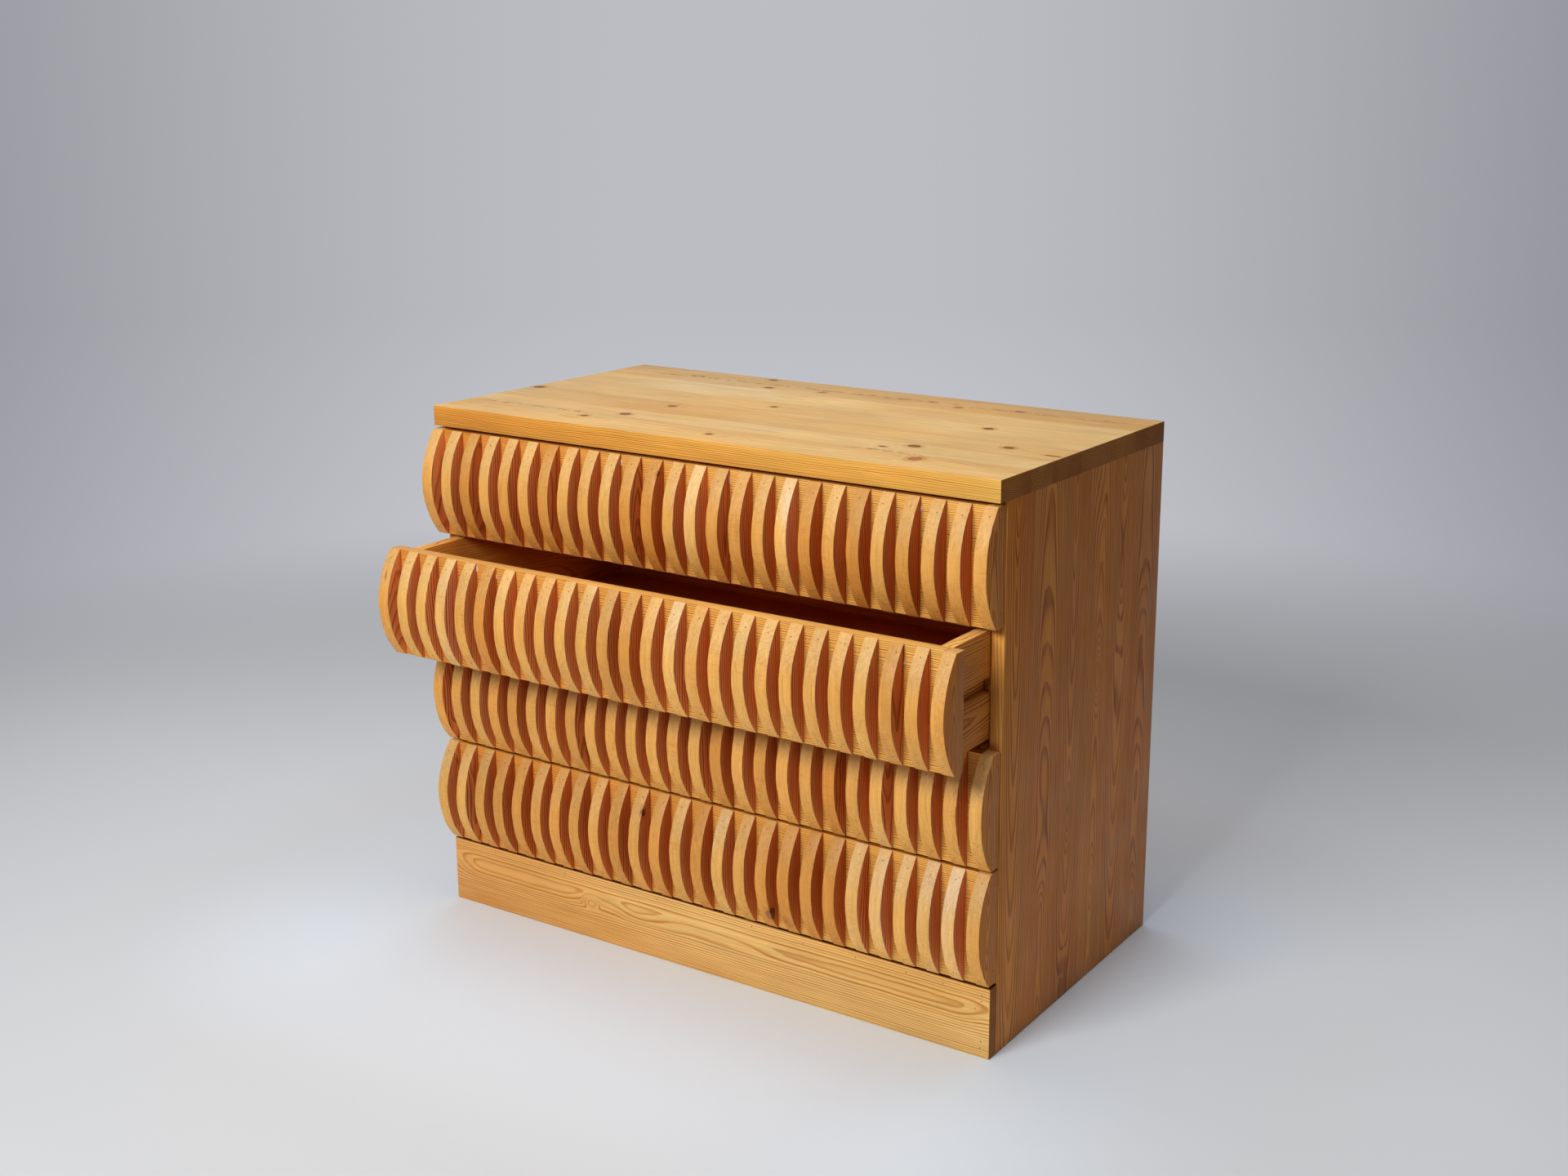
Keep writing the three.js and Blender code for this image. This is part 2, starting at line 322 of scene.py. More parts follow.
def pine(
    name,
    eyes=(),
    knots=(),
    pale_knots=(),
    gloss=(0.36, 0.52),
    marks=None,
    tint=(1, 1, 1),
    late_tint=None,
    right_tint=None,
    upper_sheen_tint=None,
    right_lines=1.0,
    lines=1.0,
    specular=0.15,
    knot_share=1.0,
):
    """A pine surface. eyes bend the rings round a place, knots are dark spots that do it too.

    tint is for the early wood: at the left end only when right_tint is given, on the lower part of
    each drawer only when a tint for the upper part is. That upper tint is paler and bluer: painted
    sheen of the light from above. The right end's paler tint is partly the wood's own colour and
    partly painted light. right_lines is the share of the ring lines' strength that is left at the
    right end, knot_share the share of a dark knot's own colour, and gloss the least and the most
    roughness.
    """
    material, bench, shader = new_material(name)
    shader.inputs["Specular IOR Level"].default_value = specular
    if late_tint is None:
        late_tint = tuple(min(1, part) for part in tint)
    here = bench.object_place()
    look = bench.vector("MULTIPLY", bench.attribute("board_look"), (1, lines, 1))
    # Paler towards the right end: partly the wood's own colour, partly painted light.
    if right_tint:
        span = bench.math("ADD", bench.axis(here, "X"), 0.5)
        tint = bench.mix(span, rgb(*tint), rgb(*right_tint))
        look = bench.vector("MULTIPLY", look, bench.mix(span, rgb(1, 1, 1), rgb(1, right_lines, 1)))
    # Painted sheen: paler and bluer towards the upper part of each drawer, where the curves face the light
    # from above.
    if upper_sheen_tint:
        above = bench.math("SUBTRACT", bench.axis(here, "Z"), LOWEST_DRAWER)
        drawer_part = bench.math("FRACT", bench.math("DIVIDE", above, DRAWER_PITCH))
        rise = bench.remap(drawer_part, 0.5, 0.85, 0, 1, "SMOOTHSTEP")
        tint = bench.mix(rise, rgb(*tint), rgb(*upper_sheen_tint))
    pushes = []
    if eyes:
        pushes.append(hills(bench, here, eyes))
    if knots or pale_knots:
        near = nearest(bench, here, [*knots, *pale_knots])
        pushes.append(bench.remap(near, *KNOT_REACH, KNOT_LIFT, 0, "SMOOTHERSTEP"))
    tree_place = bench.attribute("log_place")
    for push in pushes:
        tree_place = bench.vector("ADD", tree_place, bench.add("CombineXYZ", {"Y": push}).outputs[0])
    waves = bench.attribute("board_waves", "Fac")
    figure = bench.add("Group", node_tree=pine_group)
    inputs = {"Tree place": tree_place, "Look": look, "Waves": waves}
    inputs.update({"Early tint": tint, "Late tint": late_tint})
    for key, value in inputs.items():
        bench.wire(value, figure.inputs[key])
    colour, height = figure.outputs["Color"], figure.outputs["Height"]
    if knots:
        shades = [rgb(*(part * knot_share for part in shade[:3])) for shade in KNOT_SHADES]
        colour = paint_knots(bench, here, colour, knots, *shades)
    if pale_knots:
        colour = paint_knots(bench, here, colour, pale_knots, *PALE_KNOT_SHADES)
    if marks:
        shade, mark_height = marks(bench, here)
        colour = bench.vector("MULTIPLY", colour, shade)
        height = bench.math("MULTIPLY_ADD", mark_height, 1.6, height)
    bench.wire(colour, shader.inputs["Base Color"])
    bench.wire(bench.spread(bench.noise(here, (14, 14, 14)), *gloss), shader.inputs["Roughness"])
    bump = bench.add("Bump", {"Strength": 0.35, "Distance": 0.0004, "Height": height})
    bench.wire(bump, shader.inputs["Normal"])
    return material


# How far a knot's outline strays, and the clouds a metre that it follows
KNOT_STRAY = (0.003,) * 3
KNOT_CLOUDS = (160,) * 3
# A knot's heart and its rim
KNOT_SHADES = (rgb(0.265, 0.112, 0.022), rgb(0.090, 0.034, 0.005))
PALE_KNOT_SHADES = (rgb(0.430, 0.160, 0.070), rgb(0.290, 0.090, 0.040))


def paint_knots(bench, here, colour, knots, heart, rim):
    """Paints round knots with a lighter heart, a dark rim and a stained ring of wood round them."""
    wobble = bench.noise(here, KNOT_CLOUDS, output="Color")
    shaken = bench.vector("MULTIPLY_ADD", wobble, KNOT_STRAY, here)
    near = nearest(bench, shaken, knots)
    rings = bench.times(bench.math("SINE", bench.times(near, 17)), 0.12)
    core = bench.mix(bench.remap(bench.math("ADD", near, rings), 0.45, 0.95, 0, 1), heart, rim)
    stained = bench.mix(bench.remap(near, 1.0, 2.3, 0.45, 0, "SMOOTHSTEP"), colour, LATE_WOOD)
    return bench.mix(bench.remap(near, 0.86, 1.06, 1, 0, "SMOOTHSTEP"), stained, core)


SAW_SHADE = rgb(0.78, 0.62, 0.42)
# Fine marks, coarse marks, where they are strong, and pores: clouds a metre, the span of the noise
# that counts, and the strengths at its ends
SAW_LAYERS = [
    ((45, 10, 1500), (0.3, 0.5, 0.7, 0)),
    ((18, 10, 420), (0.3, 0.38, 0.6, 0)),
    ((30, 30, 22), (0.42, 0.68, 0.15, 1)),
    ((700, 700, 300), (0.62, 0.72, 0, 0.8)),
]


def saw_marks(bench, here):
    """Fine level scratches that a saw left across the curved faces of the fins."""
    layers = [bench.remap(bench.noise(here, clouds), *turn) for clouds, turn in SAW_LAYERS]
    fine, coarse, strength, pores = layers
    depth = bench.times(bench.math("ADD", fine, coarse), strength, clamp=True)
    marked = bench.math("MAXIMUM", depth, pores)
    return bench.mix(marked, rgb(1, 1, 1), SAW_SHADE), bench.times(marked, -0.3)


# In millimetres: the Y of the top's seams, and rows of short dark flecks, as Y and the span along X
TOP_SEAMS = (-103, -42, 45, 134, 223)
TOP_FLECK_ROWS = [(-105, -495, -250), (-104, 205, 330), (272, -450, 470)]
FLECK_SWAY = 0.022
FLECK_SHADE = rgb(0.56, 0.36, 0.23)
# How wide a row of flecks is, fading at its edge, and how far from its ends it fades
FLECK_ROW_EDGE = (0.004, 0.008)
FLECK_ROW_FADE = 0.03
FLECK_CLOUDS = (62, 210, 1)
# How wide a seam's line is, fading at its edge, and the clouds that break it
SEAM_EDGE = (0.0002, 0.0007)
SEAM_CLOUDS = (6, 40, 1)


def top_marks(bench, here):
    """Rows of short red-brown flecks in the top, and thin dark lines where its boards meet."""
    x, y, _ = bench.add("SeparateXYZ", {0: here}).outputs
    sway = bench.math("MULTIPLY_ADD", bench.noise(here, (11, 11, 11)), FLECK_SWAY, y)
    marked = 0
    for row_y, first, last in TOP_FLECK_ROWS:
        across = bench.remap(bench.off(sway, row_y * MM + FLECK_SWAY / 2), *FLECK_ROW_EDGE, 1, 0)
        half = (last - first) / 2 * MM
        off_middle = bench.off(x, (first + last) / 2 * MM)
        along = bench.remap(off_middle, half - FLECK_ROW_FADE, half, 1, 0)
        marked = bench.math("MAXIMUM", marked, bench.times(across, along))
    marked = bench.times(marked, bench.remap(bench.noise(here, FLECK_CLOUDS), 0.53, 0.58, 0, 1))
    patches = bench.remap(bench.noise(here, SEAM_CLOUDS), 0.45, 0.6, 0.1, 0.6)
    for seam in TOP_SEAMS:
        line = bench.times(bench.remap(bench.off(y, seam * MM), *SEAM_EDGE, 1, 0), patches)
        marked = bench.math("MAXIMUM", marked, line)
    return bench.mix(marked, rgb(1, 1, 1), FLECK_SHADE), bench.times(marked, -0.5)


# Modelling

# How far each kind of board's arrises are rounded
ARRISES = {
    "top": 0.0011,
    "side": 0.0008,
    "plinth": 0.0009,
    "back": 0.0004,
    "fin": 0.0004,
    "front": 0.0006,
    "box side": 0.0007,
    "plain": 0.0006,
    "thin": 0.0003,
}
ARRIS_ANGLE = 40
SMOOTH_ANGLE = 35
# How much wider a groove or bore is than what it holds, and how far a cutter passes an open edge
PLAY = 0.0003
GLUE_GAP = 0.0001
PAST = 0.01
# How squarely a face looks along an axis to count as its face
SQUARELY = 0.7


def select_only(*pieces):
    bpy.ops.object.select_all(action="DESELECT")
    for piece in pieces:
        piece.select_set(True)
    bpy.context.view_layer.objects.active = pieces[0]


def shape(piece, kind, action, test=None):
    """Selects the faces, edges or vertices that pass a test, or all, and works on them in edit mode."""
    select_only(piece)
    bpy.ops.object.mode_set(mode="EDIT")
    bpy.ops.mesh.select_mode(type=kind)
    bpy.ops.mesh.select_all(action="DESELECT")
    bpy.ops.object.mode_set(mode="OBJECT")
    mesh = piece.data
    for part in {"FACE": mesh.polygons, "EDGE": mesh.edges, "VERT": mesh.vertices}[kind]:
        part.select = test is None or bool(test(part))
    bpy.ops.object.mode_set(mode="EDIT")
    action()
    bpy.ops.object.mode_set(mode="OBJECT")


def new_piece(name, add, stretch=(1, 1, 1), **settings):
    """Adds a primitive with nothing else selected, and puts its place and size into its mesh."""
    bpy.ops.object.select_all(action="DESELECT")
    add(**settings)
    piece = bpy.context.object
    piece.name = piece.data.name = name
    piece.scale = stretch
    bpy.ops.object.transform_apply(location=True, rotation=True, scale=True)
    return piece


def block(name, low, high):
    """A straight board between two corners."""
    low, high = Vector(low), Vector(high)
    middle = (low + high) / 2
    return new_piece(name, bpy.ops.mesh.primitive_cube_add, high - low, size=1, location=middle)


def apply_modifier(piece, kind, **settings):
    select_only(piece)
    modifier = piece.modifiers.new(kind.lower(), kind)
    for name, value in settings.items():
        setattr(modifier, name, value)
    bpy.ops.object.modifier_apply(modifier=modifier.name)


def cut_away(piece, cutter):
    """Takes the cutter's shape out of the piece."""
    apply_modifier(piece, "BOOLEAN", operation="DIFFERENCE", solver="EXACT", object=cutter)
    bpy.data.objects.remove(cutter)


def soften(piece, kind):
    """Rounds the arrises as a plane and sandpaper leave them."""
    limit = {"limit_method": "ANGLE", "angle_limit": math.radians(ARRIS_ANGLE)}
    apply_modifier(piece, "BEVEL", width=ARRISES[kind], segments=2, use_clamp_overlap=True, **limit)
    select_only(piece)
    bpy.ops.object.shade_smooth_by_angle(angle=math.radians(SMOOTH_ANGLE))


def saw_seams(piece, axis, places):
    """Parts the faces where the boards of a glued panel meet."""
    for place in places:
        normal = Vector([axis == number for number in (X, Y, Z)])
        cut = {"plane_co": normal * place, "plane_no": normal}
        shape(piece, "FACE", lambda: bpy.ops.mesh.bisect(**cut))


def draw_start():
    return chance.uniform(0, 40)


@dataclass
class Board:
    """How one board was sawn: where its figure's middle is, how deep the pith lies, and its look."""

    middle: float = 0.0
    depth: float = 0.045
    tone: float = 0.0
    lines: float = 0.8
    warmth: float = 0.0
    waves: float = 1.0
    slope: float = 0.0
    rings: float = 1.0
    start: float = field(default_factory=draw_start)


def lay_grain(piece, along, across, face, boards, seams=()):
    """Writes at each face corner its place in the tree, with the grain along one axis.

    face is the level of the show face, as (axis, level, side that the pith is on).
    """
    mesh = piece.data
    points = np.array([corner.co for corner in mesh.vertices])
    corners = points[[corner.vertex_index for corner in mesh.loops]]
    count = len(corners)
    through, level, side = face
    places, looks, waves = np.zeros((count, 3)), np.zeros((count, 3)), np.zeros(count)
    for polygon in mesh.polygons:
        board = boards[int(np.searchsorted(seams, polygon.center[across]))]
        span = slice(polygon.loop_start, polygon.loop_start + polygon.loop_total)
        run = corners[span, along]
        deep = (level - corners[span, through]) * side + board.depth + run * board.slope
        places[span, 0] = (corners[span, across] - board.middle) * board.rings
        places[span, 1] = deep * board.rings
        places[span, 2] = run + board.start
        looks[span] = (board.tone, board.lines, board.warmth)
        waves[span] = board.waves
    for name, kind, part, values in (
        ("log_place", "FLOAT_VECTOR", "vector", places),
        ("board_look", "FLOAT_VECTOR", "vector", looks),
        ("board_waves", "FLOAT", "value", waves),
    ):
        attribute = mesh.attributes.get(name) or mesh.attributes.new(name, kind, "CORNER")
        attribute.data.foreach_set(part, np.asarray(values, np.float32).ravel())


def facing(axis, way=None):
    """A test for the faces that look along an axis, one way or both ways."""
    if way is None:
        return lambda face: abs(face.normal[axis]) > SQUARELY
    return lambda face: face.normal[axis] * way > SQUARELY


def paint(piece, along, finish, *others):
    """Gives a board its finish, its end grain, and others on the faces that pass a test."""
    finishes = [(finish, lambda face: True), ("end grain", facing(along)), *others]
    mesh = piece.data
    mesh.materials.clear()
    for name, _ in finishes:
        mesh.materials.append(materials[name])
    for polygon in mesh.polygons:
        for number, (_, test) in enumerate(finishes):
            if test(polygon):
                polygon.material_index = number


def settle(piece, body, slot, *nodes):
    """Ties a finished piece to its body and hides the solids that it stands for. Its slot is not used."""
    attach(piece, body)
    if nodes:
        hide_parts(*nodes)


def join(name, pieces):
    """Makes one piece of several."""
    select_only(*pieces)
    bpy.ops.object.join()
    joined = bpy.context.object
    joined.name = joined.data.name = name
    return joined


def grown(node, spare):
    """A node's lowest and highest corners, a little further out."""
    low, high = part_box(node)
    return Vector(low) - Vector((spare,) * 3), Vector(high) + Vector((spare,) * 3)


# Case

# Tones of the boards that a side or the back is glued up from
BOARD_TONES = (-0.10, 0.16, -0.20, 0.22, 0.0, -0.14, 0.18, -0.06)
# Knots of the top, in millimetres: X, Y and half sizes along X and Y
TOP_KNOTS = [
    (-208, 314, 7, 6),
    (-169, 245, 8, 6),
    (282, 277, 8, 4),
    (-56, 100, 6, 5),
    (312, 123, 8, 7),
    (-484, 39, 10, 8),
    (-190, 16, 7, 7),
    (406, 11, 8, 7),
    (484, -7, 13, 3),
    (290, -52, 10, 8),
    (254, -78, 6, 4),
    (-206, -79, 9, 8),
    (-248, -124, 7, 5),
    (-2, -140, 6, 5),
]
TOP_PALE_KNOTS = [(337, -128, 9, 11), (185, 256, 7, 5), (-69, 255, 7, 5)]
# How far the figure of a board of the top may lie off its middle
TOP_FIGURE_SHIFT = 0.01
# The top's boards from front to back: tone, ring lines, warmth, the pith's depth and the rings' size
TOP_BOARDS = [
    (0.02, 0.75, 0.0, 0.075, 1.35),
    (0.06, 0.5, -0.3, 0.030, 1.0),
    (-0.12, 0.45, 0.35, 0.060, 1.0),
    (0.02, 0.4, -0.1, 0.052, 1.0),
    (0.10, 0.35, -0.4, 0.080, 1.0),
    (-0.10, 0.6, 0.1, 0.022, 1.0),
]


def make_top():
    low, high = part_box("top_board")
    top = block("top", low, high)
    cut_dowel_holes(top)
    soften(top, "top")
    seams = [place * MM for place in TOP_SEAMS]
    saw_seams(top, Y, seams)
    limits = [low.y, *seams, high.y]
    boards = []
    for first, last, (tone, lines, warmth, depth, rings) in zip(limits, limits[1:], TOP_BOARDS):
        middle = (first + last) / 2 + chance.uniform(-TOP_FIGURE_SHIFT, TOP_FIGURE_SHIFT)
        boards.append(Board(middle, depth, tone, lines, warmth, rings=rings))
    lay_grain(top, X, Y, (Z, high.z, 1), boards, seams)
    paint(top, X, "top", ("top edge", facing(Y)))
    settle(top, "case", "top", "top_board")


def dowels():
    return [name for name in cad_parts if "_dowel_" in name]


def cut_dowel_holes(piece):
    """Bores the holes of the hidden dowels, a little wider and deeper than they are."""
    bpy.context.view_layer.update()
    for name in dowels():
        low, high = grown(name, PLAY)
        if overlaps(piece, low, high):
            bpy.ops.object.select_all(action="DESELECT")
            size = {"radius": (high.x - low.x) / 2, "depth": high.z - low.z}
            bpy.ops.mesh.primitive_cylinder_add(vertices=16, location=(low + high) / 2, **size)
            cut_away(piece, bpy.context.object)


def overlaps(piece, low, high):
    corners = np.array(piece.bound_box)
    return (corners.min(0) < high).all() and (corners.max(0) > low).all()


# Middles of the figure of the side's staves and their seams, in millimetres
STAVE_MIDDLES = (-135, -43, 36, 122, 194, 276)
STAVE_SEAMS = (-89, -4, 79, 158, 235)
STAVE_DEPTH = 0.025
# How far the pith leans away from each stave's face as it rises
STAVE_SLOPES = (-0.036, 0.048, -0.042, 0.038, -0.050, 0.044)
# Ovals in the right side's figure, in millimetres: Y, Z, half sizes and how much they lift the rings.
# Where they sink them, closed rings show.
SIDE_EYES = [
    (44, 648, 9, 34, 2.6),
    (36, 301, 10, 44, -9.0),
    (-46, 275, 16, 60, 8.0),
    (120, 477, 14, 40, -14.0),
    (122, 148, 12, 34, -7.0),
    (278, 167, 14, 58, 6.0),
    (36, 43, 12, 30, 4.5),
    (-41, 60, 13, 60, 5.0),
    (112, 790, 14, 60, 6.0),
    (276, 620, 17, 70, 6.0),
    (278, 400, 12, 80, 4.5),
    (193, 470, 9, 70, 4.5),
    (195, 690, 9, 50, 4.5),
    (-43, 560, 13, 130, 4.5),
    (-120, 700, 22, 60, 5.0),
]


def make_side(hand):
    node = f"{hand}_side_panel"
    low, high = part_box(node)
    side = block(f"{hand}_side", low, high)
    sign, outer = (1, high.x) if hand == "right" else (-1, low.x)
    floor_low, floor_high = grown("case_floor", GLUE_GAP)
    floor_low.y, floor_high.y = low.y - PAST, floor_high.y + GLUE_GAP
    cut_away(side, block("housing", floor_low, floor_high))
    back_low, back_high = grown("back_panel", GLUE_GAP)
    back_low.z, back_high.z, back_high.y = low.z - PAST, high.z + PAST, high.y + PAST
    cut_away(side, block("rebate", back_low, back_high))
    cut_dowel_holes(side)
    soften(side, "side")
    seams = [place * MM for place in STAVE_SEAMS]
    saw_seams(side, Y, seams)
    boards = []
    for middle, slope, board_tone in zip(STAVE_MIDDLES, STAVE_SLOPES, BOARD_TONES):
        tone = board_tone * 0.5
        depth = STAVE_DEPTH - slope * (low.z + high.z) / 2
        boards.append(Board(middle * MM, depth, tone, 1.0, 0.15 - tone, 0.4, slope))
    lay_grain(side, Z, Y, (X, outer, sign), boards, seams)
    paint(side, Z, f"{hand} side", ("inside", facing(Y, -1)))
    settle(side, "case", "side", node)


# Ovals in the plinth's figure, in millimetres: X, Z, half sizes and how much they lift the rings
PLINTH_EYES = [
    (-213, 62, 12, 8, 8.0),
    (-192, 60, 40, 13, 5.0),
    (-560, 62, 64, 20, 13.0),
    (18, 64, 86, 9, 4.6),
    (520, 60, 40, 22, 5.0),
]


def make_plinth():
    low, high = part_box("plinth_board")
    plinth = block("plinth", low, high)
    soften(plinth, "plinth")
    board = Board(middle=0.070, depth=0.036, tone=0.06, lines=1.2, warmth=0.05, waves=0.35, rings=1.35)
    lay_grain(plinth, X, Z, (Y, low.y, -1), [board])
    # The plinth's top face takes painted shade, so the line under the lowest drawer shows dark.
    paint(plinth, X, "plinth", ("shaded", facing(Z, 1)))
    settle(plinth, "case", "plinth", "plinth_board")


def make_plain_board(name, node, body, slot, grain, board, finish="bare", arris="plain"):
    """A plain straight board. grain is the axes along and across it and the one through its face."""
    along, across, through, side = grain
    low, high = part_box(node)
    piece = block(name, low, high)
    soften(piece, arris)
    level = (high if side > 0 else low)[through]
    lay_grain(piece, along, across, (through, level, side), [board])
    paint(piece, along, finish)
    settle(piece, body, slot, node)


# How far the figure of each board of the back lies off its middle, and how far its pith leans
BACK_SHIFTS = (0.030, -0.045, 0.010, 0.055, -0.020, 0.040, -0.050)
BACK_SLOPE = 0.035
BACK_WARMTH = 0.2


def make_back():
    """The back panel, glued up from upright boards."""
    low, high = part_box("back_panel")
    back = block("back", low, high)
    soften(back, "back")
    width = (high.x - low.x) / len(BACK_SHIFTS)
    seams = [low.x + width * number for number in range(1, len(BACK_SHIFTS))]
    saw_seams(back, X, seams)
    first = Board(depth=0.035, waves=0.5)
    boards = []
    for number, (shift, tone) in enumerate(zip(BACK_SHIFTS, BOARD_TONES)):
        slope = BACK_SLOPE * (-1) ** number
        look = {"tone": tone, "warmth": BACK_WARMTH - tone, "slope": slope}
        depth = first.depth - slope * (low.z + high.z) / 2
        middle = low.x + width * (number + 0.5) + shift
        boards.append(replace(first, middle=middle, depth=depth, start=first.start + number, **look))
    lay_grain(back, Z, X, (Y, high.y, 1), boards, seams)
    paint(back, Z, "left side")
    settle(back, "case", "panel", "back_panel")


# How far the middle of a runner's figure lies off its left edge
RUNNER_FIGURE = -0.02


def make_case():
    make_top()
    make_side("right")
    make_side("left")
    make_plinth()
    board = Board(middle=0.1, depth=0.05, tone=-0.1, lines=0.7, warmth=0.3)
    make_plain_board("case_bottom", "case_floor", "case", "panel", (X, Y, Z, 1), board)
    make_back()
    for number in DRAWERS:
        for hand in ("left", "right"):
            node = f"{hand}_runner_{number}"
            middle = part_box(node)[0].x + RUNNER_FIGURE
            board = Board(middle=middle, depth=0.03, tone=-0.1, warmth=0.3)
            make_plain_board(f"{hand}_rail_{number}", node, "case", "runner", (Y, X, Z, 1), board)


# Drawers

# How far a fin's curve stands forward of its tips, and how far each fin stays behind the true curve
FIN_RISE = 0.0315
FIN_SETBACK = 0.0008
FIN_ARC_STEPS = 20
# The height on a fin that stays in place where the fin leans
LEAN_MIDDLE = 0.083
FRONT_BOARD_THICKNESS = 0.019
RAIL_GROOVE_HEIGHT = 0.021
RAIL_GROOVE_DEPTH = 0.010
# The least and the most of what varies from fin to fin
FIN_SPANS = {
    "tone": (-0.15, 0.15),
    "warmth": (-0.25, 0.2),
    "figure": (-0.01, 0.01),
    "slope": (-0.05, 0.05),
    "depth": (0.012, 0.045),
    "lines": (0.8, 1.15),
    "rings": (0.75, 1.3),
    "thickness": (0.955, 0.995),
    "lean": (-0.004, 0.004),
    "flatness": (0.0, 0.0012),
}
# The waves in a hand-guided cut: the least and the most length, and how far they reach
SAW_WAVES = (((0.055, 0.110), 0.00045), ((0.018, 0.034), 0.00014))
# Fins that stand out from the others in each drawer: darker orange ones, and very pale ones
DARK_FINS = {
    1: (2, 6, 10, 11, 14, 18, 20, 22),
    2: (5, 11, 12, 23),
    3: (4, 7, 14, 16, 19),
    4: (2, 3, 4, 5, 7, 9, 11, 13, 16, 17, 18, 19),
}
PALE_FINS = {1: (3, 13, 17), 2: (1, 3, 6, 14), 3: (21,), 4: (20, 21, 22, 23, 24)}
# How much their tone and warmth differ: the lowest drawer's pale fins are the palest
DARK_CHANGE = (-0.45, 0.75)
PALE_CHANGES = {1: (0.25, -0.5), 2: (0.25, -0.5), 3: (0.25, -0.5), 4: (0.25, -0.9)}
# Where the middle of a fin's figure lies behind the front of its curve
FIN_FIGURE_MIDDLES = (0.016, 0.076, 0.085, 0.095, -0.030, -0.040, -0.050, -0.060)
# Where it lies in an end fin, and how far its pith leans
END_FIGURE_MIDDLE = 0.027
END_FIGURE_SLOPE = 0.075
# How far the middles of other figures lie off: a front board's from its foot, low or high and
# somewhat uneven, a box side's from its middle, a box back's from its top, a bottom's from its front
FRONT_FIGURES = (-0.07, 0.24)
FRONT_FIGURE_SHIFT = 0.02
BOX_SIDE_FIGURE = -0.035
BOX_BACK_FIGURE = -0.04
BOTTOM_FIGURE = 0.22
# A smear of dried glue, in millimetres: half its width and depth, and how far its points stray
GLUE_HALF_WIDTH = 1.5
GLUE_HALF_DEPTH = 0.8
GLUE_STRAY_X = 0.3
GLUE_STRAY_Z = 0.9
# Where dried glue shows, in millimetres: the drawer, the fin on its left, its height and its length
GLUE_TRACES = [
    (1, 9, 153, 11),
    (1, 14, 150, 14),
    (1, 22, 149, 9),
    (1, 12, 34, 8),
    (1, 14, 36, 6),
    (2, 4, 158, 12),
    (2, 5, 152, 8),
    (2, 23, 140, 4),
]


def fin_row(body):
    """The left end fin's corners, the fins' pitch, and where the board behind them starts."""
    low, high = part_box(f"{body}_left_end_fin")
    pitch = (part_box(f"{body}_right_end_fin")[0].x - low.x) / (FIN_COUNT - 1)
    return low, high, pitch, high.y - FRONT_BOARD_THICKNESS


def spin_fin(name, low, high):
    """A fin between two corners: a level line spun into an arc, then drawn back to a flat."""
    tip_y = low.y + FIN_RISE
    half_height = (high.z - low.z) / 2
    radius = (half_height**2 + FIN_RISE**2) / (2 * FIN_RISE)
    thickness = high.x - low.x
    fin = new_piece(
        name,
        bpy.ops.mesh.primitive_plane_add,
        (thickness, thickness, 1),
        size=1,
        location=(low.x + thickness / 2, tip_y, low.z),
    )
    shape(fin, "VERT", lambda: bpy.ops.mesh.delete(type="VERT"), lambda corner: corner.co.y > tip_y)
    shape(fin, "VERT", lambda: bpy.ops.transform.translate(value=(0, thickness / 2, 0)))
    arc = {"angle": 2 * math.asin(half_height / radius), "axis": (1, 0, 0)}
    arc["center"] = (0, low.y + radius, low.z + half_height)
    shape(fin, "EDGE", lambda: bpy.ops.mesh.spin(steps=FIN_ARC_STEPS, **arc))

    def draw_back():
        bpy.ops.mesh.extrude_region_move(TRANSFORM_OT_translate={"value": (0, high.y - low.y, 0)})
        bpy.ops.transform.resize(value=(1, 0, 1), center_override=(0, high.y, 0))

    shape(fin, "FACE", draw_back)
    shape(fin, "FACE", lambda: bpy.ops.mesh.normals_make_consistent(inside=False))
    soften(fin, "fin")
    return fin


def copy_piece(piece, name, move):
    """Copies a piece with its own mesh, moved by a matrix."""
    copied = piece.copy()
    copied.data = piece.data.copy()
    copied.name = copied.data.name = name
    bpy.context.scene.collection.objects.link(copied)
    copied.data.transform(move)
    return copied


def vary(what):
    return chance.uniform(*FIN_SPANS[what])


def uneven_saw_line():
    """How far a hand-guided cut wanders from the true arc, along the fin's height."""
    waves = [(chance.uniform(*lengths), reach) for lengths, reach in SAW_WAVES]
    waves = [(2 * math.pi / length, reach, chance.uniform(0, 6.3)) for length, reach in waves]
    return lambda z: sum(reach * math.sin(turn * z + start) for turn, reach, start in waves)


def roughen_fin(fin, front_y, back_y):
    """Makes a copy its own fin: an uneven curve, and a hair thinner and out of line."""
    wander = uneven_saw_line()
    corners = fin.data.vertices
    middle_x = sum(corner.co.x for corner in corners) / len(corners)
    thickness, lean, flatness = vary("thickness"), vary("lean"), vary("flatness")
    low_z = min(corner.co.z for corner in corners)
    for corner in corners:
        share = (back_y - corner.co.y) / (back_y - front_y)
        corner.co.y += share * (FIN_SETBACK + flatness + wander(corner.co.z))
        corner.co.x = middle_x + (corner.co.x - middle_x) * thickness
        corner.co.x += (corner.co.z - low_z - LEAN_MIDDLE) * lean


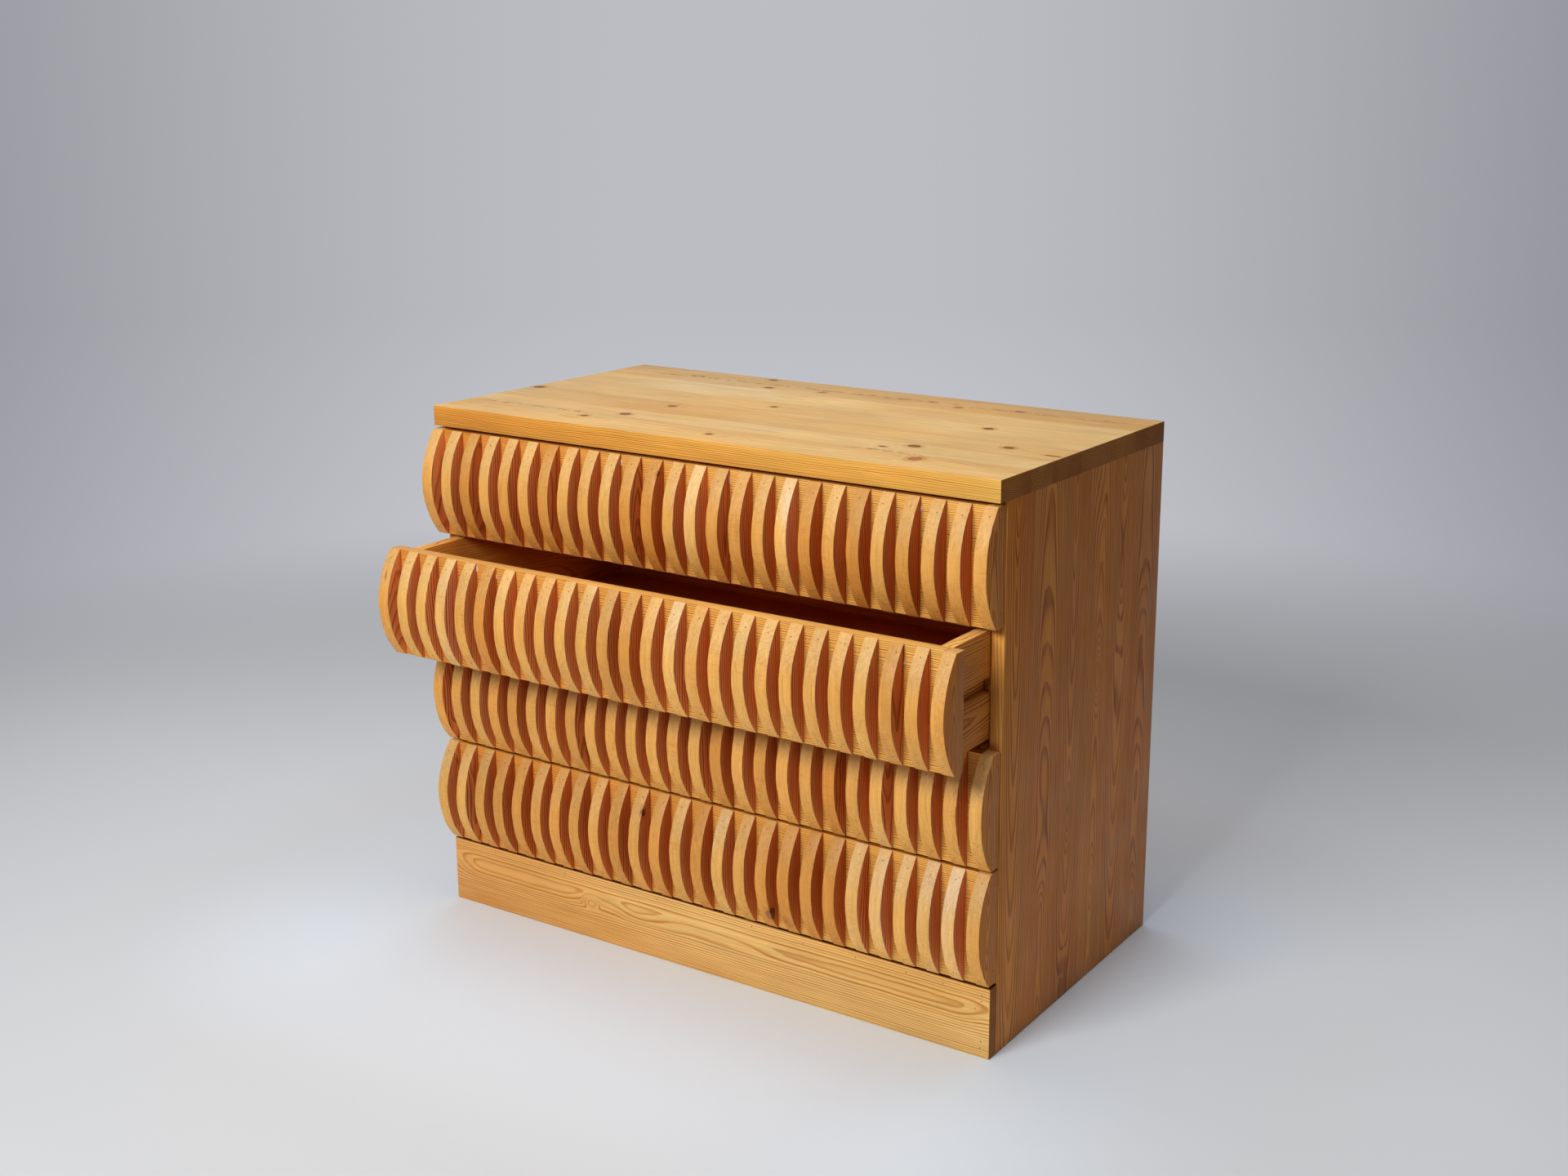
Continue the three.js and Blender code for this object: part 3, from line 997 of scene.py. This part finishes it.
def finish_fin(fin, drawer, index, front_y):
    tone, warmth = vary("tone"), vary("warmth")
    for fins, (darker, warmer) in ((DARK_FINS, DARK_CHANGE), (PALE_FINS, PALE_CHANGES[drawer])):
        if index in fins[drawer]:
            tone, warmth = tone + darker, warmth + warmer
    middle = front_y + chance.choice(FIN_FIGURE_MIDDLES) + vary("figure")
    slope = vary("slope")
    others = [("sawn", lambda face: face.normal.y < -0.5 or abs(face.normal.z) > SQUARELY)]
    if index in END_FINS:
        middle = front_y + END_FIGURE_MIDDLE
        slope = math.copysign(END_FIGURE_SLOPE, slope)
        others.append(("left side", facing(X, 1 if index else -1)))
    board = Board(
        middle=middle,
        depth=vary("depth"),
        tone=tone,
        lines=vary("lines"),
        warmth=warmth,
        waves=1.1,
        slope=slope,
        rings=vary("rings"),
    )
    right = max(corner.co.x for corner in fin.data.vertices)
    lay_grain(fin, Z, Y, (X, right, 1), [board])
    # The fins' side faces take the fin finish: darker and redder, painted shade and painted light bounced
    # between the fins.
    paint(fin, Z, "fin", *others)


def make_fins(number, nail_master):
    """Makes a drawer's fins and drives their nails."""
    body = f"drawer_{number}"
    low, high, pitch, board_front = fin_row(body)
    end_master = spin_fin("end fin", low, high)
    master = spin_fin("inner fin", low, Vector((high.x, board_front, high.z)))
    inner, nails = [], []
    for index in range(FIN_COUNT):
        at_end = index in END_FINS
        hand = "right" if index else "left"
        name = f"{body}_{hand}_outer_fin" if at_end else f"{body}_fin_{index}"
        fin = copy_piece(end_master if at_end else master, name, Matrix.Translation((index * pitch, 0, 0)))
        roughen_fin(fin, low.y, high.y if at_end else board_front)
        finish_fin(fin, number, index, low.y)
        if at_end:
            settle(fin, body, "end_fin", f"{body}_{hand}_end_fin")
        else:
            inner.append(fin)
        nails += nail_fin(nail_master, fin, index)
    bpy.data.objects.remove(end_master)
    bpy.data.objects.remove(master)
    settle(join(f"{body}_fins", inner), body, "front", f"{body}_front")
    keep_nails(f"{body}_nails", nails, body, "front")


NAIL_RADIUS = 0.0011
NAIL_LENGTH = 0.0008
NAIL_RIM = 0.00025
# How deep a nail head's middle lies under the wood's face
NAIL_SUNK = 0.00032
# How far off a nail starts its way to the wood
NAIL_WAY = 0.1
# Nails in a fin, in millimetres: the spans of how far right of its middle, and how far in from its end
TOP_NAIL = ((-3, 4), (10, 16))
FOOT_NAIL = ((-4, 0), (10, 15))
SPARE_NAIL = ((1, 5), (8, 18))
SPARE_NAIL_SHARE = 0.7
# How far a nail in an end fin's outer face lies from the fin's foot or top, and from its back
END_NAIL_FOOT = 0.020
END_NAIL_TOP = 0.018
END_NAIL_BACK = 0.009


def make_nail_master():
    """A small nail head with a rounded rim, on the origin and facing -Y."""
    size = {"vertices": 8, "radius": NAIL_RADIUS, "depth": NAIL_LENGTH}
    nail = new_piece("nail", bpy.ops.mesh.primitive_cylinder_add, rotation=(math.pi / 2, 0, 0), **size)
    rim = {"offset": NAIL_RIM, "segments": 1, "affect": "EDGES"}
    shape(nail, "FACE", lambda: bpy.ops.mesh.bevel(**rim), lambda face: face.normal.y < -0.9)
    return nail


def drive_nail(master, piece, start, direction):
    """Puts a nail head where a line meets a piece, almost flush with its surface."""
    met, place, normal, _ = piece.ray_cast(Vector(start), Vector(direction))
    if not met:
        return None
    turn = Vector((0, -1, 0)).rotation_difference(normal).to_matrix().to_4x4()
    return copy_piece(master, "nail", Matrix.Translation(place - normal * NAIL_SUNK) @ turn)


def keep_nails(name, nails, body, slot):
    heads = join(name, [nail for nail in nails if nail])
    heads.data.materials.append(materials["nail"])
    settle(heads, body, slot)


def nail_fin(master, fin, index):
    bpy.context.view_layer.update()
    corners = np.array([corner.co for corner in fin.data.vertices])
    low, high = Vector(corners.min(0)), Vector(corners.max(0))
    middle = (low.x + high.x) / 2

    def front_nail(offsets, insets, end_z, way):
        x = middle + chance.uniform(*offsets) * MM
        z = end_z + way * chance.uniform(*insets) * MM
        return drive_nail(master, fin, (x, low.y - NAIL_WAY, z), (0, 1, 0))

    nails = [front_nail(*TOP_NAIL, high.z, -1), front_nail(*FOOT_NAIL, low.z, 1)]
    if chance.random() < SPARE_NAIL_SHARE:
        nails.append(front_nail(*SPARE_NAIL, low.z, 1))
    if index in END_FINS:
        out, outer = (1, high.x) if index else (-1, low.x)
        for z in (low.z + END_NAIL_FOOT, high.z - END_NAIL_TOP):
            start = (outer + out * NAIL_WAY, high.y - END_NAIL_BACK, z)
            nails.append(drive_nail(master, fin, start, (-out, 0, 0)))
    return nails


def make_front_board(number):
    body = f"drawer_{number}"
    low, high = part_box(f"{body}_front")
    low = Vector((low.x, high.y - FRONT_BOARD_THICKNESS, low.z))
    board = block(f"{body}_front_board", low, high)
    cut_away(board, block("groove", *grown(f"{body}_bottom", PLAY)))
    soften(board, "front")
    middle_z = low.z + chance.choice(FRONT_FIGURES)
    middle_z += chance.uniform(-FRONT_FIGURE_SHIFT, FRONT_FIGURE_SHIFT)
    look = {"tone": 0.05, "lines": 1.15, "warmth": 0.25, "waves": 0.8, "rings": 1.2}
    sawn_as = Board(middle_z, depth=0.030, **look)
    lay_grain(board, X, Z, (Y, low.y, -1), [sawn_as])
    # The level faces of the front boards are painted: painted light on the open drawer's board, painted
    # shade on the others, so the lines between the drawers show dark.
    level = "lit" if number == OPEN_DRAWER else "gap shade"
    paint(board, X, "board", (level, facing(Z)), ("inside", facing(Y, 1)))
    settle(board, body, "front", f"{body}_front")


def make_box_side(number, hand):
    body = f"drawer_{number}"
    node = f"{body}_{hand}_side"
    low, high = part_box(node)
    side = block(f"{body}_{hand}_box_side", low, high)
    cut_away(side, block("groove", *grown(f"{body}_bottom", PLAY)))
    sign, outer = (1, high.x) if hand == "right" else (-1, low.x)
    middle_z = (low.z + high.z) / 2
    groove_x = sorted((outer - sign * RAIL_GROOVE_DEPTH, outer + sign * PAST))
    groove_low = (groove_x[0], low.y - PAST, middle_z - RAIL_GROOVE_HEIGHT / 2)
    groove_high = (groove_x[1], high.y + PAST, middle_z + RAIL_GROOVE_HEIGHT / 2)
    cut_away(side, block("rail groove", groove_low, groove_high))
    soften(side, "box side")
    look = {"lines": 1.0, "warmth": 0.1, "waves": 1.2, "slope": 0.06}
    board = Board(middle_z + BOX_SIDE_FIGURE, depth=0.030, **look)
    lay_grain(side, Y, Z, (X, outer, sign), [board])
    # The box side's top face takes painted light.
    paint(side, Y, "box", ("lit", facing(Z, 1)), ("left side", facing(X, sign)))
    settle(side, body, "box", node)


def make_glue(number):
    """Thin smears of dried glue in the corners between the fins and the board."""
    body = f"drawer_{number}"
    low, high, pitch, board_front = fin_row(body)
    smears = []
    for drawer, fin, height, length in GLUE_TRACES:
        if drawer != number:
            continue
        smear = new_piece(
            "smear",
            bpy.ops.mesh.primitive_ico_sphere_add,
            (GLUE_HALF_WIDTH * MM, GLUE_HALF_DEPTH * MM, length / 2 * MM),
            subdivisions=2,
            radius=1,
            location=(high.x + fin * pitch, board_front, low.z + height * MM),
        )
        for point in smear.data.vertices:
            point.co.x += chance.uniform(-GLUE_STRAY_X, GLUE_STRAY_X) * MM
            point.co.z += chance.uniform(-GLUE_STRAY_Z, GLUE_STRAY_Z) * MM
        select_only(smear)
        bpy.ops.object.shade_smooth()
        smears.append(smear)
    if smears:
        glue = join(f"{body}_dried_glue", smears)
        glue.data.materials.clear()
        glue.data.materials.append(materials["glue"])
        settle(glue, body, "front")


def make_drawer(number, nail_master):
    body = f"drawer_{number}"
    make_front_board(number)
    make_fins(number, nail_master)
    make_glue(number)
    for hand in ("left", "right"):
        make_box_side(number, hand)
    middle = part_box(f"{body}_back")[1].z + BOX_BACK_FIGURE
    board = Board(middle, depth=0.04, tone=-0.05, lines=0.9, warmth=0.2)
    names = (f"{body}_box_back", f"{body}_back", body, "box")
    make_plain_board(*names, (X, Z, Y, -1), board, "inside")
    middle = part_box(f"{body}_bottom")[0].y + BOTTOM_FIGURE
    board = Board(middle, depth=0.10, tone=-0.15, lines=0.9, warmth=0.35)
    names = (f"{body}_floor", f"{body}_bottom", body, "bottom")
    make_plain_board(*names, (X, Y, Z, 1), board, "inside", "thin")


# Nails in the plinth, in millimetres: X and Z
PLINTH_NAILS = [
    (-491, 27),
    (-413, 98),
    (-266, 96),
    (-81, 98),
    (10, 97),
    (97, 98),
    (189, 95),
    (280, 97),
    (365, 96),
    (425, 96),
    (487, 94),
    (487, 85),
    (477, 72),
    (487, 24),
    (486, 14),
]
# How far before or behind the chest's middle a nail in the case starts its way to the wood
CASE_NAIL_WAY = 1
# Nails down each edge of the back, how far the end ones lie from its corners, and how far all of
# them and the foot's nails lie from its edges
BACK_NAIL_ROWS = 7
BACK_NAIL_ENDS = 0.02
BACK_NAIL_EDGE = 0.006
BACK_NAIL_FOOT = 0.01


def make_case_nails(master):
    plinth, back = bpy.data.objects["plinth"], bpy.data.objects["back"]
    starts = [(x * MM, -CASE_NAIL_WAY, z * MM) for x, z in PLINTH_NAILS]
    nails = [drive_nail(master, plinth, start, (0, 1, 0)) for start in starts]
    low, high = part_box("back_panel")
    width, height = high.x - low.x, high.z - low.z
    places = []
    for row in range(BACK_NAIL_ROWS):
        z = low.z + BACK_NAIL_ENDS + (height - 2 * BACK_NAIL_ENDS) * row / (BACK_NAIL_ROWS - 1)
        places += [(low.x + BACK_NAIL_EDGE, z), (high.x - BACK_NAIL_EDGE, z)]
    for column in range(1, BACK_NAIL_ROWS):
        places.append((low.x + width * column / BACK_NAIL_ROWS, low.z + BACK_NAIL_FOOT))
    nails += [drive_nail(master, back, (x, CASE_NAIL_WAY, z), (0, -1, 0)) for x, z in places]
    keep_nails("case_nails", nails, "case", "plinth")


# Finishes

# Knots and swirls in the fins, in millimetres: X, Y, Z and half sizes, and how much swirls lift the rings
FIN_KNOTS = [
    (147, -205, 139, 7, 9, 10),
    (-46, -203, 771, 4, 6, 5),
    (-88, -205, 246, 3, 5, 7),
    (-488, -315, 584, 1.5, 3, 7),
]
FIN_PALE_KNOTS = [(174, -212, 130, 7, 8, 9)]
FIN_EYES = [(108, -205, 747, 12, 8, 26, 6), (264, -205, 172, 12, 9, 16, 7), (283, -205, 168, 12, 9, 14, 6)]

# How each kind of surface differs from plain oiled pine
ROUGH = (0.5, 0.66)
SIDE_LOOK = {"tint": (0.98, 0.69, 0.47), "late_tint": (0.80, 0.58, 0.50), "lines": 1.8}
FINISHES = {
    # Painted sheen: the top is tinted paler and bluer, with little specular, as the light it reflects would
    # make it
    "top": {
        "tint": (0.90, 1.08, 1.82),
        "late_tint": (1.20, 1.60, 4.00),
        "gloss": (0.40, 0.55),
        "specular": 0.06,
    },
    "top edge": {
        "tint": (0.98, 0.86, 0.60),
        "right_tint": (1.10, 1.21, 1.10),
        "late_tint": (1.12, 0.94, 0.85),
        "lines": 3.4,
        "right_lines": 0.45,
    },
    "plinth": {
        "tint": (0.98, 0.98, 1.20),
        "right_tint": (1.12, 1.40, 2.10),
        "late_tint": (1.26, 1.28, 1.90),
        "lines": 1.6,
    },
    "right side": SIDE_LOOK,
    "left side": SIDE_LOOK,
    # Painted light: a paler, bluer tint for the level faces of the open drawer's board and the top faces of
    # the box sides
    "lit": {"tint": (1.06, 1.12, 1.30)},
    # Painted shade: a near-black tint for the plinth's top face
    "shaded": {"tint": (0.16, 0.10, 0.08)},
    "board": {"tint": (0.98, 0.83, 0.74), "right_tint": (1.10, 1.24, 1.25), "lines": 1.8},
    # Painted shade: a dark tint for the level faces of the closed drawers' boards, so the lines between the
    # drawers show dark
    "gap shade": {"tint": (0.56, 0.38, 0.25)},
    "box": {"tint": (0.93, 0.71, 0.53), "lines": 1.3},
    "inside": {"tint": (1.04, 0.94, 0.88), "gloss": ROUGH},
    # Painted shade and bounce light: the fins' side faces darker and redder than the wood, with their knots
    # dimmed to match
    "fin": {"tint": (1.02, 0.68, 0.88), "late_tint": (0.54, 0.31, 0.36), "lines": 2.0, "knot_share": 0.6},
    "sawn": {
        "tint": (1.03, 0.99, 0.98),
        # painted sheen on the upper part of each drawer's fins
        "upper_sheen_tint": (0.93, 1.03, 1.52),
        "lines": 0.22,
        "gloss": (0.42, 0.60),
        "specular": 0.25,
    },
    "bare": {"tint": (0.80, 0.52, 0.34), "gloss": ROUGH},
    "end grain": {"tint": (0.56, 0.39, 0.28), "late_tint": (0.22, 0.16, 0.12), "lines": 2.4, "gloss": ROUGH},
}
# The small pieces' clouds a metre, the span where their colour turns, both colours and the roughness
SMALL_FINISHES = {
    "nail": ((900, 900, 900), (0.4, 0.6), rgb(0.022, 0.012, 0.008), rgb(0.06, 0.025, 0.01), (0.35, 0.7)),
    "glue": ((500, 500, 300), USUAL_NOISE, rgb(0.80, 0.74, 0.62), rgb(0.90, 0.88, 0.82), (0.35, 0.6)),
    "dowel": ((1500, 1500, 60), USUAL_NOISE, rgb(0.60, 0.42, 0.25), rgb(0.74, 0.56, 0.37), (0.5, 0.7)),
}
# How deep the top's knots and the side's and plinth's ovals reach into the wood, in millimetres
KNOT_DEPTH = 30
EYE_DEPTH = 50


def spots(table):
    """Turns rows of a middle, half sizes and perhaps a lift from millimetres to metres."""
    rows = [[part * MM for part in row] for row in table]
    return [(tuple(row[:3]), tuple(row[3:6]), *row[6:]) for row in rows]


def spots_on(node, axis, side, deep, table):
    """Puts rows that leave out one axis on a face of a node, and turns them to metres."""
    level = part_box(node)[side][axis] / MM
    rows = []
    for first, second, *others in table:
        middle, half = [first, second], others[:2]
        middle.insert(axis, level)
        half.insert(axis, deep)
        rows.append((*middle, *half, *others[2:]))
    return spots(rows)


def make_clouded(name, clouds, turn, first, second, gloss):
    material, bench, shader = new_material(name)
    cloud = bench.noise(bench.object_place(), clouds)
    bench.wire(bench.mix(bench.remap(cloud, *turn, 0, 1), first, second), shader.inputs["Base Color"])
    bench.wire(bench.spread(cloud, *gloss), shader.inputs["Roughness"])
    return material


def make_materials():
    knots, pale_knots = spots(FIN_KNOTS), spots(FIN_PALE_KNOTS)
    top_knots = spots_on("top_board", Z, 1, KNOT_DEPTH, TOP_KNOTS)
    top_pale_knots = spots_on("top_board", Z, 1, KNOT_DEPTH, TOP_PALE_KNOTS)
    features = {
        "top": {"knots": top_knots, "pale_knots": top_pale_knots, "marks": top_marks},
        "plinth": {"eyes": spots_on("plinth_board", Y, 0, EYE_DEPTH, PLINTH_EYES)},
        "right side": {"eyes": spots_on("right_side_panel", X, 1, EYE_DEPTH, SIDE_EYES)},
        "fin": {"eyes": spots(FIN_EYES), "knots": knots, "pale_knots": pale_knots},
        "sawn": {"pale_knots": knots + pale_knots, "marks": saw_marks},
    }
    made = {}
    for name, finish in FINISHES.items():
        made[name] = pine(f"{name} pine", **finish, **features.get(name, {}))
    for name, finish in SMALL_FINISHES.items():
        made[name] = make_clouded(name, *finish)
    return made


# Studio

# Each soft light: where it stands, what it is aimed at, its width and height, its power and colour
SOFT_LIGHTS = {
    "key": ((-0.15, -3.30, 2.55), (0, 0, 0.4), 2.0, 1.1, 116, (1, 1, 1)),
    "overhead": ((0.0, 0.0, 3.0), (0, 0.01, 0), 2.3, 2.3, 42, (0.97, 0.99, 1.03)),
}
# The way to the brightest part of the backdrop, and how little its height counts
BACKDROP_MIDDLE = (-0.575, 0.81, -0.10)
BACKDROP_WEIGHTS = (1, 1, 0.25)
BACKDROP_LIGHT = rgb(0.503, 0.508, 0.543)
BACKDROP_DARK = rgb(0.215, 0.218, 0.250)
# How far off that way the backdrop darkens, and how far off it turns into the room
BACKDROP_FALL = (0.05, 0.62)
ROOM_START = (0.55, 1.05)
# The rest of the room: what it sheds on the chest, and how it looks
STUDIO_DARK = rgb(0.052, 0.052, 0.055)
STUDIO_SEEN = rgb(0.200, 0.203, 0.222)
FLOOR_RADIUS = 30
# How far the floor lies under the chest's feet, so that they don't share a plane
FLOOR_DROP = 0.0005
# The floor's colours a metre before the chest's middle, beside it, and close round its foot. They are
# painted light: darker in front, paler beside and behind the chest, and paler and cooler round its foot,
# where they take out the orange light that the chest throws on the floor.
FLOOR_FRONT = rgb(0.632, 0.643, 0.648)
FLOOR_BACK = rgb(0.740, 0.753, 0.758)
FLOOR_NEAR = rgb(0.800, 0.870, 0.930)
FOOT_REACH = 0.45
# How far from the middle the floor starts to fade into the backdrop, and where it has faded
FLOOR_FADE = (1.5, 3.1)


def backdrop_colour(bench, direction):
    """A pale grey that falls off away from the middle of the backdrop, to a plain room all round."""
    rays = bench.add("LightPath").outputs
    seen = bench.math("MAXIMUM", rays["Is Glossy Ray"], rays["Is Transmission Ray"])
    studio = bench.mix(bench.math("MAXIMUM", rays["Is Camera Ray"], seen), STUDIO_DARK, STUDIO_SEEN)
    offset = bench.vector("SUBTRACT", direction, BACKDROP_MIDDLE)
    away = bench.vector("LENGTH", bench.vector("MULTIPLY", offset, BACKDROP_WEIGHTS))
    edge = bench.remap(away, *BACKDROP_FALL, 0, 1, "SMOOTHSTEP")
    room = bench.remap(away, *ROOM_START, 0, 1, "SMOOTHSTEP")
    colour = bench.mix(room, bench.mix(edge, BACKDROP_LIGHT, BACKDROP_DARK), studio)
    return bench.scaled(colour, bench.remap(bench.axis(direction, "Z"), -0.26, -0.12, 1.18, 1))


def add_world():
    world = bpy.data.worlds.new("studio")
    world.use_nodes = True
    bpy.context.scene.world = world
    bench = Bench(world.node_tree)
    world.node_tree.nodes.clear()
    direction = bench.add("TexCoord").outputs["Generated"]
    light = bench.add("Background", {"Color": backdrop_colour(bench, direction), "Strength": 1.0})
    bench.add("OutputWorld", {"Surface": light})


def add_floor():
    """A round pale floor that takes the shadow and fades into the backdrop far off."""
    size = {"vertices": 96, "radius": FLOOR_RADIUS, "fill_type": "NGON"}
    place = (0, 0, -FLOOR_DROP)
    floor = new_piece("studio_floor", bpy.ops.mesh.primitive_circle_add, location=place, **size)
    material, bench, shader = new_material("studio floor")
    shader.inputs["Roughness"].default_value = 0.8
    shader.inputs["Specular IOR Level"].default_value = 0.1
    here = bench.object_place()
    # Painted light: darker in front, paler beside and behind the chest, paler and cooler round its foot
    plain = bench.mix(bench.remap(bench.axis(here, "Y"), -1.0, 0.0, 0, 1), FLOOR_FRONT, FLOOR_BACK)
    middle, half = (cad_low + cad_high) / 2, (cad_high - cad_low) / 2
    from_middle = bench.vector("ABSOLUTE", bench.vector("SUBTRACT", here, tuple(middle)))
    past_foot = bench.vector("SUBTRACT", from_middle, (half.x, half.y, 1))
    off_foot = bench.vector("LENGTH", bench.vector("MAXIMUM", past_foot, (0, 0, 0)))
    near = bench.remap(off_foot, 0, FOOT_REACH, 1, 0, "SMOOTHSTEP")
    bench.wire(bench.mix(near, plain, FLOOR_NEAR), shader.inputs["Base Color"])
    direction = bench.vector("NORMALIZE", bench.vector("SUBTRACT", here, CAMERA_PLACE))
    glow = bench.add("Emission", {"Color": backdrop_colour(bench, direction), "Strength": 1.0})
    far = bench.remap(bench.vector("LENGTH", here), *FLOOR_FADE, 0, 1, "SMOOTHSTEP")
    faded = bench.add("MixShader", {0: far, 1: shader, 2: glow})
    bench.wire(faded, material.node_tree.nodes["Material Output"].inputs["Surface"])
    floor.data.materials.append(material)


def add_lights():
    for name, (place, target, width, height, power, colour) in SOFT_LIGHTS.items():
        data = bpy.data.lights.new(name, "AREA")
        data.shape = "RECTANGLE"
        data.size, data.size_y = width, height
        data.energy = power
        data.color = colour
        light = bpy.data.objects.new(name, data)
        aim = Vector(target) - Vector(place)
        turn = aim.to_track_quat("-Z", "Y").to_matrix().to_4x4()
        light.matrix_world = Matrix.Translation(place) @ turn
        bpy.context.scene.collection.objects.link(light)


add_camera()
add_world()
add_floor()
add_lights()
materials = make_materials()
make_case()
nail_master = make_nail_master()
for number in DRAWERS:
    make_drawer(number, nail_master)
make_case_nails(nail_master)
bpy.data.objects.remove(nail_master)
for name in dowels():
    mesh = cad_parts[name].data
    mesh.materials.clear()
    mesh.materials.append(materials["dowel"])

bpy.context.scene.view_settings.view_transform = "Standard"
